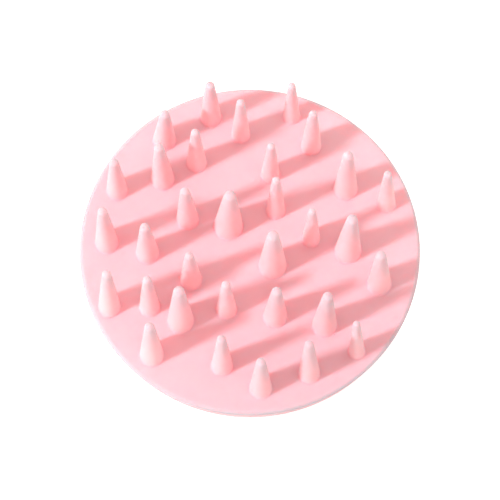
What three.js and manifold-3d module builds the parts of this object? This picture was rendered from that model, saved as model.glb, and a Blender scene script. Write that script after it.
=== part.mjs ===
// Round scalp massager brush with a pull-off silicone face, a shallow back cover, a waisted stem
// and a palm knob. Millimetres. +Z points out of the bristle face. The origin is the centre of the
// flat end that the brush stands on when it is put down with its bristles up.

import * as THREE from 'three';
import { mergeVertices } from 'three/addons/utils/BufferGeometryUtils.js';
import Module from 'manifold-3d';

const wasm = await Module();
wasm.setup();

// ---- Driving dimensions ----

const FACE_RADIUS = 40;
const FACE_HEIGHT = 40; // the flat face that the bristles stand on
const SEGMENTS = 48; // sides of the large turned pieces
const STEM_SEGMENTS = 36;
const OVERCUT = 1; // how far a cutting tool reaches past the surface it cuts
const WELD = 1e-4; // points closer than this are one point
const FIT = 0.3; // between the silicone and the rigid pieces
const SEAT = 0.1; // between rigid pieces that bear on each other

// Silicone face moulding: a shallow cup, its bristles and its fixing pegs.
const SKIN = 2.5; // thickness of the face, and of the skirt at its top
const RIM_HEIGHT = 6.5;
const RIM_ROUND = 0.9;
const SKIRT_FOOT_RADIUS = 39; // the skirt tapers in towards the back cover
const SKIRT_FOOT_ROUND = 0.6;
const SLIM_BASE = 2; // radius of a slim bristle at its base
const SLIM_TIP = 0.85; // and at its round tip
const TIP_PER_MM = 0.38; // stouter bristles have blunter tips
const FLANK_POWER = 1.1; // just over 1, so that the flanks are very slightly full
const PEG = { ring: 20, count: 6, start: 30, radius: 2.5, length: 6.5, nose: 1.2 };
const TIP_START = 35; // degrees round the tip where the flank runs into it

// One row for each bristle: x, y, radius at the base, height, sideways lean of its tip.
const BRISTLES = [
  // inner ones
  [5.3, -4, 3.3, 24.5, 0],
  [-5.1, 5.7, 3.4, 24.5, 0.5],
  [6.1, 9.6, 2.2, 23.5, -0.1],
  [14.4, 2.6, 2.1, 22, -0.1],
  [-13.8, -7.5, 2.5, 20, -0.2],
  [-14.7, 7.4, 2.6, 22, -0.3],
  [-5.5, -14.8, 2.4, 21.5, 0],
  [5.9, -16.4, 2.8, 21.5, 0.2],
  [4.8, 18.5, 2.2, 21.5, 0.1],
  // middle ones
  [23, -0.4, 3.1, 25.5, 0.4],
  [-24.1, -0.9, 2.7, 21, -0.1],
  [-12.6, 21.4, 2.3, 23, -0.1],
  [-16.2, -17.5, 3.1, 25.5, 0],
  [17.4, -18.5, 2.9, 24.5, 0.3],
  [-20.6, 17.4, 2.7, 24, -0.4],
  [22.6, 15, 2.8, 25.5, 0],
  [-23.5, -14.1, 2.4, 23, 0],
  [-2.2, 28.5, 2.2, 23.5, 0],
  [14.5, 25.7, 2.4, 23.5, 0.1],
  [-6.5, -28.3, 2.5, 23.5, 0],
  // outer ones
  [30.3, -8.4, 2.8, 23.5, -0.3],
  [-20.3, 27.2, 2.7, 19, 0.5],
  [-9.3, 32.9, 2.5, 23, 0],
  [-33.7, 1.6, 2.7, 25, -0.1],
  [32.2, 11.2, 2.2, 23, -0.5],
  [13.8, -30.2, 2.5, 26, -0.4],
  [9.9, 33.1, 2, 22, -0.2],
  [-31.4, 14.6, 2.5, 21.5, 0],
  [2.5, -33.7, 2.6, 23.5, 0],
  [-22.9, -25.8, 2.8, 25, 0.1],
  [24.9, -24.9, 1.9, 24, -0.7],
  [-32.9, -14, 2.6, 27, 0.3],
];

// Rigid plate inside the face moulding.
const PLATE_THICKNESS = 2.6;
const PLATE_CHAMFER = 0.4;
const PLATE_RIB_RADIUS = 24;
const PLATE_RIB_WIDTH = 1.4;
const PLATE_RIB_DEPTH = 1.6;
const PEG_ROOM = 0.2; // peg hole radius over the peg's

// Back cover: a saucer with a rim that steps in under the silicone skirt.
const COVER_RADIUS = 38.8;
const COVER_WALL = 2.2;
const COVER_EDGE = 1; // height of the upright edge below the skirt
const COVER_SEAT_RADIUS = 16;
const COVER_SEAT_HEIGHT = 27.2; // underside of the saucer, where the stem bears
const COVER_POWER = 1.6; // how late the saucer turns up towards its edge
const COVER_RIM_WALL = 2.2;

// Stem between the cover and the knob.
const STEM_FOOT_RADIUS = 14.6;
const STEM_FOOT_HEIGHT = 11.7;
const STEM_FOOT_BAND = 2; // straight part above the foot, and a shorter one under the flange
const STEM_FLANGE_BAND = 0.8;
const STEM_WAIST_RADIUS = 12.2;
const STEM_WAIST_HEIGHT = 20;
const STEM_BORE_RADIUS = 5;
const STEM_FLOOR_HEIGHT = 18; // bottom of the bore
const SPIGOT_RADIUS = 6.2;
const SPIGOT_LENGTH = 1.5;

// Palm knob, its grip band and its end cap.
const KNOB_RADIUS = 25;
const KNOB_TOP = 13;
const KNOB_BOTTOM = 0.6;
const KNOB_SHOULDER = [5.5, 3.1]; // radial and upright size of the round above the band
const KNOB_HEEL = [3.2, 3.5]; // the same below the band
const KNOB_WALL = 2.4;
const KNOB_BORE_RADIUS = 20.5;
const KNOB_CORNER = 1.5;
const KNOB_BOSS_WALL = 1.4;
const KNOB_BOSS_DROP = 1.4;
const BAND_DEPTH = 1.6;
const BAND_PROUD = 0.4;
const BAND_ROUND = 0.8;
const CAP_RADIUS = 20.9;
const CAP_THICKNESS = 2;
const CAP_CHAMFER = 0.8;
const CAP_RING_WALL = 1.6;
const CAP_RING_TOP = 5;

// Screws.
const PLATE_SCREW = { ring: 29, count: 4, start: 45, shank: 1.15, head: 2.8, sunk: 1.6, tip: 31.3 };
const STEM_SCREW = { ring: 9.4, count: 3, start: 90, shank: 1.15, head: 2.6, tall: 1.8, tip: 22 };
const KNOB_SCREW = { shank: 1.5, head: 3.6, tall: 2.3, tip: 17.2 };
const PAN_EDGE = 0.5; // share of a pan head's height that is upright
const PAN_TOP = 0.7; // radius of its flat top, as a share of the head's
const PILOT_ROOM = 0.15; // pilot hole radius over the shank's
const PILOT_DEEPER = 0.2; // pilot hole past the screw's tip
const CLEARANCE_ROOM = 0.4; // clearance hole radius over the shank's
const BOSS_RADIUS = 3.2;
const SCREW_POINT = 0.8;
const SCREW_SEGMENTS = 12;

// ---- Worked-out heights and radii ----

const RIM_BASE = FACE_HEIGHT - RIM_HEIGHT;
const CUP_CEILING = FACE_HEIGHT - SKIN;
const CUP_RADIUS = FACE_RADIUS - SKIN;
const PLATE_TOP = CUP_CEILING - FIT;
const PLATE_BASE = PLATE_TOP - PLATE_THICKNESS;
const PLATE_RADIUS = CUP_RADIUS - FIT;
const COVER_TOP = PLATE_BASE - SEAT;
const COVER_SHOULDER = RIM_BASE - FIT;
const STEM_TOP = COVER_SEAT_HEIGHT - SEAT;
const RECESS_FLOOR = STEM_FOOT_HEIGHT - SEAT;
const KNOB_CEILING = RECESS_FLOOR - KNOB_WALL;
const KNOB_BOSS_END = KNOB_CEILING - KNOB_BOSS_DROP;
const BAND_TOP = KNOB_TOP - KNOB_SHOULDER[1];
const BAND_BASE = KNOB_BOTTOM + KNOB_HEEL[1];
const GROOVE_RADIUS = KNOB_RADIUS - BAND_DEPTH;

// ---- Materials ----

const FINISHES = {
  silicone: { color: 0xfdd2da, roughness: 0.45 },
  gripSilicone: { color: 0xf3aeb9, roughness: 0.6 },
  shellPlastic: { color: 0xf8d3d9, roughness: 0.35 },
  innerPlastic: { color: 0xf3ece9, roughness: 0.5 },
  screwSteel: { color: 0xb9bcc0, roughness: 0.3, metalness: 1 },
};

// ---- Geometry helpers ----

// Welds a closed geometry, drops triangles of no area and turns its faces outwards.
function closedGeometry(source) {
  const bare = source.index ? source.toNonIndexed() : source.clone();
  bare.deleteAttribute('normal');
  bare.deleteAttribute('uv');
  const welded = mergeVertices(bare, WELD);
  const corners = Array.from(welded.index.array);
  const kept = [];
  for (let i = 0; i < corners.length; i += 3) {
    const [a, b, c] = corners.slice(i, i + 3);
    if (a !== b && b !== c && c !== a) kept.push(a, b, c);
  }
  welded.setIndex(kept);
  if (signedVolume(welded) < 0) {
    for (let i = 0; i < kept.length; i += 3) {
      [kept[i], kept[i + 1]] = [kept[i + 1], kept[i]];
    }
    welded.setIndex(kept);
  }
  return welded;
}

function signedVolume(geometry) {
  const place = geometry.attributes.position;
  const corners = geometry.index.array;
  const [a, b, c] = [new THREE.Vector3(), new THREE.Vector3(), new THREE.Vector3()];
  let total = 0;
  for (let i = 0; i < corners.length; i += 3) {
    a.fromBufferAttribute(place, corners[i]);
    b.fromBufferAttribute(place, corners[i + 1]);
    c.fromBufferAttribute(place, corners[i + 2]);
    total += a.dot(b.cross(c));
  }
  return total / 6;
}

// Turns a profile of [radius, height] points about Z. It starts and ends on the axis.
function turned(profile, segments = SEGMENTS) {
  const points = profile.map(([radius, height]) => new THREE.Vector2(radius, height));
  const geometry = new THREE.LatheGeometry(points, segments);
  geometry.rotateX(Math.PI / 2);
  return closedGeometry(geometry);
}

// Turns a profile that closes on itself.
function turnedRing(profile, segments = SEGMENTS) {
  return turned([...profile, profile[0]], segments);
}

// Points along an elliptical arc in the [radius, height] plane, with angles in degrees.
function arc([centreRadius, centreHeight], [wide, tall], from, to, steps) {
  const points = [];
  for (let i = 0; i <= steps; i += 1) {
    const angle = THREE.MathUtils.degToRad(from + ((to - from) * i) / steps);
    points.push([centreRadius + wide * Math.cos(angle), centreHeight + tall * Math.sin(angle)]);
  }
  return points;
}

function rod(radius, base, top, segments = SCREW_SEGMENTS) {
  return turned([[0, base], [radius, base], [radius, top], [0, top]], segments);
}

function solid(geometry) {
  const vertProperties = Float32Array.from(geometry.attributes.position.array);
  const triVerts = Uint32Array.from(geometry.index.array);
  return new wasm.Manifold(new wasm.Mesh({ numProp: 3, vertProperties, triVerts }));
}

function geometryOf(body) {
  const mesh = body.getMesh();
  const geometry = new THREE.BufferGeometry();
  geometry.setAttribute('position', new THREE.BufferAttribute(mesh.vertProperties, 3));
  geometry.setIndex(new THREE.BufferAttribute(mesh.triVerts, 1));
  return closedGeometry(geometry);
}

// The same geometry at each of `count` places round a ring, the first of them at `start` degrees.
function aroundRing(geometry, { ring, count, start }) {
  const copies = [];
  for (let i = 0; i < count; i += 1) {
    const angle = THREE.MathUtils.degToRad(start + (360 * i) / count);
    const copy = geometry.clone();
    copy.translate(ring * Math.cos(angle), ring * Math.sin(angle), 0);
    copies.push(copy);
  }
  return copies;
}

function joined(geometry, additions) {
  return geometryOf(additions.reduce((body, item) => body.add(solid(item)), solid(geometry)));
}

function cutAway(geometry, tools) {
  return geometryOf(tools.reduce((body, item) => body.subtract(solid(item)), solid(geometry)));
}

// ---- Pieces ----

function bristlePad() {
  return turned([
    [0, CUP_CEILING],
    [CUP_RADIUS, CUP_CEILING],
    [CUP_RADIUS, RIM_BASE + PLATE_CHAMFER],
    [CUP_RADIUS + PLATE_CHAMFER, RIM_BASE],
    ...arc([SKIRT_FOOT_RADIUS - SKIRT_FOOT_ROUND, RIM_BASE + SKIRT_FOOT_ROUND],
      [SKIRT_FOOT_ROUND, SKIRT_FOOT_ROUND], -90, 0, 3),
    ...arc([FACE_RADIUS - RIM_ROUND, FACE_HEIGHT - RIM_ROUND], [RIM_ROUND, RIM_ROUND], 0, 90, 4),
    [0, FACE_HEIGHT],
  ]);
}

// A tapered bristle with a round tip, leaning a little to one side.
function bristle([x, y, base, height, lean]) {
  const blunt = SLIM_TIP + TIP_PER_MM * (base - SLIM_BASE);
  const shoulder = height - blunt;
  const flank = [];
  const steps = 3;
  for (let i = 0; i <= steps; i += 1) {
    const rise = i / steps;
    flank.push([blunt + (base - blunt) * (1 - rise ** FLANK_POWER), shoulder * rise]);
  }
  const tip = arc([0, shoulder], [blunt, blunt], TIP_START, 90, 2);
  tip[tip.length - 1][0] = 0;
  const geometry = turned([[0, 0], ...flank, ...tip], SCREW_SEGMENTS);
  const shear = new THREE.Matrix4().makeShear(0, 0, 0, 0, lean / height, 0);
  geometry.applyMatrix4(shear);
  geometry.translate(x, y, FACE_HEIGHT);
  return geometry;
}

function fixingPeg() {
  const { radius, length, nose } = PEG;
  const base = CUP_CEILING - length;
  return turned([
    [0, base],
    [radius - nose / 2, base],
    [radius, base + nose],
    [radius, CUP_CEILING],
    [0, CUP_CEILING],
  ], SCREW_SEGMENTS);
}

function countersink() {
  const { shank, head, sunk } = PLATE_SCREW;
  const hole = shank + CLEARANCE_ROOM;
  const mouth = head + SEAT;
  return turned([
    [0, PLATE_BASE - OVERCUT],
    [hole, PLATE_BASE - OVERCUT],
    [hole, PLATE_TOP - sunk],
    [mouth, PLATE_TOP],
    [mouth, PLATE_TOP + OVERCUT],
    [0, PLATE_TOP + OVERCUT],
  ], SCREW_SEGMENTS);
}

function carrierPlate() {
  const rib = [PLATE_RIB_RADIUS - PLATE_RIB_WIDTH / 2, PLATE_RIB_RADIUS + PLATE_RIB_WIDTH / 2];
  const disc = turned([
    [0, PLATE_BASE],
    [rib[0], PLATE_BASE],
    [rib[0], PLATE_BASE - PLATE_RIB_DEPTH],
    [rib[1], PLATE_BASE - PLATE_RIB_DEPTH],
    [rib[1], PLATE_BASE],
    [PLATE_RADIUS, PLATE_BASE],
    [PLATE_RADIUS, PLATE_TOP - PLATE_CHAMFER],
    [PLATE_RADIUS - PLATE_CHAMFER, PLATE_TOP],
    [0, PLATE_TOP],
  ]);
  const pegHole = rod(PEG.radius + PEG_ROOM, PLATE_BASE - OVERCUT, PLATE_TOP + OVERCUT);
  return cutAway(disc, [
    ...aroundRing(pegHole, PEG),
    ...aroundRing(countersink(), PLATE_SCREW),
  ]);
}

// Height of the saucer's underside at a radius.
function saucer(radius) {
  const reach = Math.max(0, radius - COVER_SEAT_RADIUS) / (COVER_RADIUS - COVER_SEAT_RADIUS);
  const edge = COVER_SHOULDER - COVER_EDGE;
  return COVER_SEAT_HEIGHT + (edge - COVER_SEAT_HEIGHT) * reach ** COVER_POWER;
}

function saucerPoints(from, to, lift, steps) {
  const points = [];
  for (let i = 0; i <= steps; i += 1) {
    const radius = from + ((to - from) * i) / steps;
    points.push([radius, saucer(radius) + lift]);
  }
  return points;
}

function backCover() {
  const hole = SPIGOT_RADIUS + PILOT_ROOM;
  const rimInside = PLATE_RADIUS - COVER_RIM_WALL;
  const shell = turnedRing([
    [hole, COVER_SEAT_HEIGHT],
    ...saucerPoints(COVER_SEAT_RADIUS, COVER_RADIUS, 0, 6),
    [COVER_RADIUS, COVER_SHOULDER],
    [PLATE_RADIUS, COVER_SHOULDER],
    [PLATE_RADIUS, COVER_TOP],
    [rimInside, COVER_TOP],
    ...saucerPoints(rimInside, COVER_SEAT_RADIUS, COVER_WALL, 5),
    [hole, COVER_SEAT_HEIGHT + COVER_WALL],
  ]);
  const { ring, shank, tip } = PLATE_SCREW;
  const boss = rod(BOSS_RADIUS, saucer(ring) + COVER_WALL / 2, COVER_TOP);
  const pilot = rod(shank + PILOT_ROOM, tip - PILOT_DEEPER, COVER_TOP + OVERCUT);
  const floorTop = COVER_SEAT_HEIGHT + COVER_WALL;
  const throughRadius = STEM_SCREW.shank + CLEARANCE_ROOM;
  const through = rod(throughRadius, COVER_SEAT_HEIGHT - OVERCUT, floorTop + OVERCUT);
  const withBosses = joined(shell, aroundRing(boss, PLATE_SCREW));
  return cutAway(withBosses, [
    ...aroundRing(pilot, PLATE_SCREW),
    ...aroundRing(through, STEM_SCREW),
  ]);
}

// Outer radius of the stem, widest at its two ends.
function waist(height) {
  const above = height > STEM_WAIST_HEIGHT;
  const end = above ? STEM_TOP - STEM_FLANGE_BAND : STEM_FOOT_HEIGHT + STEM_FOOT_BAND;
  const wide = above ? COVER_SEAT_RADIUS : STEM_FOOT_RADIUS;
  const share = (height - STEM_WAIST_HEIGHT) / (end - STEM_WAIST_HEIGHT);
  return STEM_WAIST_RADIUS + (wide - STEM_WAIST_RADIUS) * share ** 2;
}

function handleStem() {
  const low = STEM_FOOT_HEIGHT + STEM_FOOT_BAND;
  const high = STEM_TOP - STEM_FLANGE_BAND;
  const flank = [];
  const steps = 8;
  for (let i = 0; i <= steps; i += 1) {
    const height = low + ((high - low) * i) / steps;
    flank.push([waist(height), height]);
  }
  const post = turned([
    [0, STEM_FOOT_HEIGHT],
    [STEM_FOOT_RADIUS, STEM_FOOT_HEIGHT],
    ...flank,
    [COVER_SEAT_RADIUS, STEM_TOP],
    [SPIGOT_RADIUS, STEM_TOP],
    [SPIGOT_RADIUS, STEM_TOP + SPIGOT_LENGTH],
    [STEM_BORE_RADIUS, STEM_TOP + SPIGOT_LENGTH],
    [STEM_BORE_RADIUS, STEM_FLOOR_HEIGHT],
    [0, STEM_FLOOR_HEIGHT],
  ], STEM_SEGMENTS);
  const { shank, tip } = STEM_SCREW;
  const pilot = rod(shank + PILOT_ROOM, tip - PILOT_DEEPER, STEM_TOP + OVERCUT);
  const centreRadius = KNOB_SCREW.shank + PILOT_ROOM;
  const centre = rod(centreRadius, STEM_FOOT_HEIGHT - OVERCUT, STEM_FLOOR_HEIGHT + OVERCUT);
  return cutAway(post, [...aroundRing(pilot, STEM_SCREW), centre]);
}

function handleKnob() {
  const screwHole = KNOB_SCREW.shank + CLEARANCE_ROOM;
  const recess = STEM_FOOT_RADIUS + FIT;
  const mouth = CAP_RADIUS + FIT;
  const ledge = CAP_THICKNESS + SEAT;
  const bossRadius = KNOB_SCREW.head + KNOB_BOSS_WALL;
  return turnedRing([
    [screwHole, KNOB_BOSS_END],
    [bossRadius, KNOB_BOSS_END],
    [bossRadius, KNOB_CEILING],
    [KNOB_BORE_RADIUS - KNOB_CORNER, KNOB_CEILING],
    [KNOB_BORE_RADIUS, KNOB_CEILING - KNOB_CORNER],
    [KNOB_BORE_RADIUS, ledge],
    [mouth, ledge],
    [mouth, KNOB_BOTTOM],
    ...arc([KNOB_RADIUS - KNOB_HEEL[0], BAND_BASE], KNOB_HEEL, -90, 0, 3),
    [GROOVE_RADIUS, BAND_BASE],
    [GROOVE_RADIUS, BAND_TOP],
    ...arc([KNOB_RADIUS - KNOB_SHOULDER[0], BAND_TOP], KNOB_SHOULDER, 0, 90, 4),
    [recess, KNOB_TOP],
    [recess, RECESS_FLOOR],
    [screwHole, RECESS_FLOOR],
  ]);
}

function gripBand() {
  const inside = GROOVE_RADIUS + FIT / 2;
  const outside = KNOB_RADIUS + BAND_PROUD;
  const low = BAND_BASE + FIT / 2;
  const high = BAND_TOP - FIT / 2;
  const round = [BAND_ROUND, BAND_ROUND];
  return turnedRing([
    [inside, low],
    ...arc([outside - BAND_ROUND, low + BAND_ROUND], round, -90, 0, 2),
    ...arc([outside - BAND_ROUND, high - BAND_ROUND], round, 0, 90, 2),
    [inside, high],
  ]);
}

function endCap() {
  const ringRadius = KNOB_BORE_RADIUS - FIT;
  return turned([
    [0, 0],
    [CAP_RADIUS - CAP_CHAMFER, 0],
    [CAP_RADIUS, CAP_CHAMFER],
    [CAP_RADIUS, CAP_THICKNESS],
    [ringRadius, CAP_THICKNESS],
    [ringRadius, CAP_RING_TOP],
    [ringRadius - CAP_RING_WALL, CAP_RING_TOP],
    [ringRadius - CAP_RING_WALL, CAP_THICKNESS],
    [0, CAP_THICKNESS],
  ]);
}

function plateScrew() {
  const { shank, head, sunk, tip } = PLATE_SCREW;
  const top = PLATE_TOP - SEAT;
  return turned([
    [0, tip],
    [shank, tip + SCREW_POINT],
    [shank, top - sunk],
    [head, top],
    [0, top],
  ], SCREW_SEGMENTS);
}

// A pan-headed screw that points along Z from its seat to its tip.
function panScrew({ shank, head, tall, tip }, seat) {
  const way = Math.sign(tip - seat);
  return turned([
    [0, tip],
    [shank, tip - way * SCREW_POINT],
    [shank, seat],
    [head, seat],
    [head, seat - way * tall * PAN_EDGE],
    [head * PAN_TOP, seat - way * tall],
    [0, seat - way * tall],
  ], SCREW_SEGMENTS);
}

// ---- Assembly ----

const brush = new THREE.Group();

function place(name, geometry, finish) {
  const mesh = new THREE.Mesh(geometry, new THREE.MeshStandardMaterial(finish));
  mesh.name = name;
  brush.add(mesh);
}

function placeAround(name, geometry, layout, finish) {
  aroundRing(geometry, layout).forEach((copy, i) => place(`${name}_${i + 1}`, copy, finish));
}

place('bristle_pad', bristlePad(), FINISHES.silicone);
BRISTLES.forEach((row, i) => {
  place(`bristle_${String(i + 1).padStart(2, '0')}`, bristle(row), FINISHES.silicone);
});
placeAround('fixing_peg', fixingPeg(), PEG, FINISHES.silicone);

place('carrier_plate', carrierPlate(), FINISHES.innerPlastic);
placeAround('plate_screw', plateScrew(), PLATE_SCREW, FINISHES.screwSteel);
place('back_cover', backCover(), FINISHES.shellPlastic);
const stemScrewSeat = COVER_SEAT_HEIGHT + COVER_WALL + SEAT;
placeAround('stem_screw', panScrew(STEM_SCREW, stemScrewSeat), STEM_SCREW, FINISHES.screwSteel);
place('handle_stem', handleStem(), FINISHES.shellPlastic);
place('handle_knob', handleKnob(), FINISHES.shellPlastic);
place('knob_screw', panScrew(KNOB_SCREW, KNOB_BOSS_END - SEAT), FINISHES.screwSteel);
place('grip_band', gripBand(), FINISHES.gripSilicone);
place('end_cap', endCap(), FINISHES.shellPlastic);

export default brush;
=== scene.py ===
"""Looks of a round silicone scalp massager with a palm knob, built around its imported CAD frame.

Lengths are in millimetres until a piece is made. +Z is up, and the brush stands on its knob with
its bristles up.
"""

from math import atan, cos, hypot, pi, radians, sin, sqrt, tan, tau

import bmesh
import bpy
from mathutils import Matrix, Vector, noise
from mathutils.geometry import delaunay_2d_cdt


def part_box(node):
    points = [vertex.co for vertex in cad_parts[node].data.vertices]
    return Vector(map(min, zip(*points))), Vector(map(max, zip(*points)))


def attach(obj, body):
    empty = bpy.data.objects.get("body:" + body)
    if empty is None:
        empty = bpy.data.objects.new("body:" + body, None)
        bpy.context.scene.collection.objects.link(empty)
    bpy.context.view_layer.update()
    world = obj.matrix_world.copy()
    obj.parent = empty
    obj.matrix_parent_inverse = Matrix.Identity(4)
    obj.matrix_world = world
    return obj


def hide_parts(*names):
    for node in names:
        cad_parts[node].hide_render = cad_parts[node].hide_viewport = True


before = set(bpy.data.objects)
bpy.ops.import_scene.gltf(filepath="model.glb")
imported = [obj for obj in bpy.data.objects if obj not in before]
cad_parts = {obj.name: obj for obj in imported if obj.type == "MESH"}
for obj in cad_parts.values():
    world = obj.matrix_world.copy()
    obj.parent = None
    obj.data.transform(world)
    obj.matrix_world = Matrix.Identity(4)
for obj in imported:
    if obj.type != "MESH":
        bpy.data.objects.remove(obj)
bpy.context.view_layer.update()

MM = 0.001

# ---- Sizes from the frame ----


def span(node):
    """Lowest and highest corner of a CAD node in millimetres."""
    low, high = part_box(node)
    return low / MM, high / MM


def middle(node):
    """Centre of a CAD node in plan."""
    low, high = span(node)
    return (low.x + high.x) / 2, (low.y + high.y) / 2


def half_width(node):
    """Half the size of a CAD node along X."""
    low, high = span(node)
    return (high.x - low.x) / 2


def nodes_like(start):
    """Names of the CAD nodes that begin with these letters, in order."""
    return sorted(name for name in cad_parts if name.startswith(start))


FACE_RADIUS = span("bristle_pad")[1].x
FACE_TOP = span("bristle_pad")[1].z
SKIRT_BASE = span("bristle_pad")[0].z
CEILING = span("fixing_peg_1")[1].z
PLATE_RADIUS = span("carrier_plate")[1].x
PLATE_TOP = span("carrier_plate")[1].z
COVER_RADIUS = span("back_cover")[1].x
COVER_SEAT = span("back_cover")[0].z
COVER_TOP = span("back_cover")[1].z
STEM_RADIUS = span("handle_stem")[1].x
STEM_BASE = span("handle_stem")[0].z
STEM_TOP = span("handle_stem")[1].z
KNOB_RADIUS = span("handle_knob")[1].x
KNOB_BASE = span("handle_knob")[0].z
KNOB_TOP = span("handle_knob")[1].z
BAND_RADIUS = span("grip_band")[1].x
BAND_BASE = span("grip_band")[0].z
BAND_TOP = span("grip_band")[1].z
CAP_RADIUS = span("end_cap")[1].x
CAP_TOP = span("end_cap")[1].z

# ---- Sizes of the fine shapes ----

RIM_SIDES = 180
TURNED_SIDES = 144
BRISTLE_SIDES = 36
SMALL_SIDES = 32

# Silicone face.
RIM_ROUND = 0.9
SKIRT_FOOT = 39  # the skirt tapers in towards the back cover
FOOT_ROUND = 0.6
SKIN = FACE_TOP - CEILING
FACE_SWELL = 0.035  # unevenness of the moulded face
SWELL_SPAN = 9
FACE_SPACING = 2.2
SHEET_LIMIT = 60  # degrees round the rim's upper edge where the face sheet ends
SHEET_STEP = 12
SKIRT_SHARES = (0, 0.06, 0.3, 0.55, 0.8)  # places of the skirt's rings between its brink and foot
CEILING_SPACING = 4
ROOT_FILLET = 0.4
ROOT_MARGIN = 0.25
ROOT_TO_RIM = 0.7  # least room between a root fillet and the rim
FILLET_STEPS = 5
SLIM_BASE = 2  # base radius of the slimmest bristles
SLIM_TIP = 0.85  # and the radius of their round tips
TIP_PER_MM = 0.38  # stouter bristles have blunter tips
TIP_STEPS = 8
FLANK_POWER = 1.1  # just over 1, so that the flanks are very slightly full
FLANK_STEPS = 14
ROOT_FADE = 3  # height over which a bristle's colour leaves the face's for the lighter colour painted as light passing through it
TIP_THIN = 0.2  # share of a bristle's height where it begins to look thin
RIM_FADE = 1.4  # width over which the face's colour changes to the rim's
RIM_DEPTH = 2  # and how far down the skirt it changes back
PEG_NOSE = 1.2
PEG_FILLET = 0.25

# All rigid pieces.
EASE = 0.3  # round on moulded edges that have no size of their own
SEAT = 0.1  # gap between rigid pieces that bear on each other
LEAD = 1  # how far an outline's end points stand off the rounds that they lead into
CURVE_STEPS = 24

# Inner plate.
PLATE_THICKNESS = 2.6
PLATE_CHAMFER = 0.4
PEG_HOLE = 2.7
RIB_RADIUS = 24
RIB_WIDTH = 1.4
RIB_DEPTH = 1.6
PLATE_SPACING = 3
PLATE_MARGIN = 1.5  # between an edge of the plate and the nearest points inside its faces

# Back cover.
COVER_SEAT_RADIUS = 16
COVER_WALL = 2.2
COVER_EDGE = 1  # height of the upright edge below the skirt
COVER_POWER = 1.6  # how late the saucer turns up towards its edge
COVER_RIM_WALL = 2.2
COVER_SPACING = 2.4
BOSS_RADIUS = 3.2

# Stem.
SPIGOT_RADIUS = 6.2
SPIGOT_LENGTH = 1.5
STEM_FOOT = 14.6
STEM_FOOT_BAND = 2  # height of the straight part above the foot
STEM_FLANGE_BAND = 0.8  # and of the one under the flange
STEM_WAIST = 12.2
STEM_WAIST_HEIGHT = 20
STEM_BORE = 5
STEM_FLOOR = 18  # bottom of the bore

# Knob, grip and cap.
KNOB_SHOULDER = (5.5, 3.1)  # radial and upright size of the round above the grip
KNOB_HEEL = (3.2, 3.5)  # the same below the grip
KNOB_WALL = 2.4
KNOB_BORE = 20.5
KNOB_CORNER = 1.5
KNOB_BOSS_WALL = 1.4
KNOB_BOSS_DROP = 1.4
BAND_DEPTH = 1.6
BAND_ROUND = 0.8
BAND_LEVELS = 8
RIB_COUNT = 72
RIB_SAMPLES = 8  # points round the grip for each rib
GRIP_RIB = 0.55  # depth between the ribs
RIB_FADE = 5  # the ribs fade out over one part in this many of the grip's height
CAP_THICKNESS = 2
CAP_CHAMFER = 0.8
CAP_RING_WALL = 1.6
CAP_DISH = 0.5
DISH_RADII = (6, 12, 14)  # a ring in the dish's floor, the floor's edge and the dish's edge
DISH_ROUNDS = (3, 1.5)

# Screws.
PLATE_SHANK = 1.15
STEM_SHANK = 1.15
KNOB_SHANK = 1.5
PLATE_SINK = 1.6  # depth of the countersinks in the plate
STEM_HEAD = 1.8  # heights of the pan heads
KNOB_HEAD = 2.3
PILOT_ROOM = 0.15
CLEARANCE_ROOM = 0.4
PILOT_DEEPER = 0.2
SCREW_SIDES = 24
SCREW_POINT = 1.6
THREAD_PITCH = 0.8
THREAD_STEPS = 6  # rings for each turn of a thread
THREAD_DEPTH = 0.22
CROSS_REACH = 0.62  # arms of a head's cross, as a share of its flat top's radius
CROSS_ARM = 0.22  # half the width of an arm, as a share of its reach
CROSS_DEPTH = 0.9  # and the cross's depth

# ---- Mesh helpers ----


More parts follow.
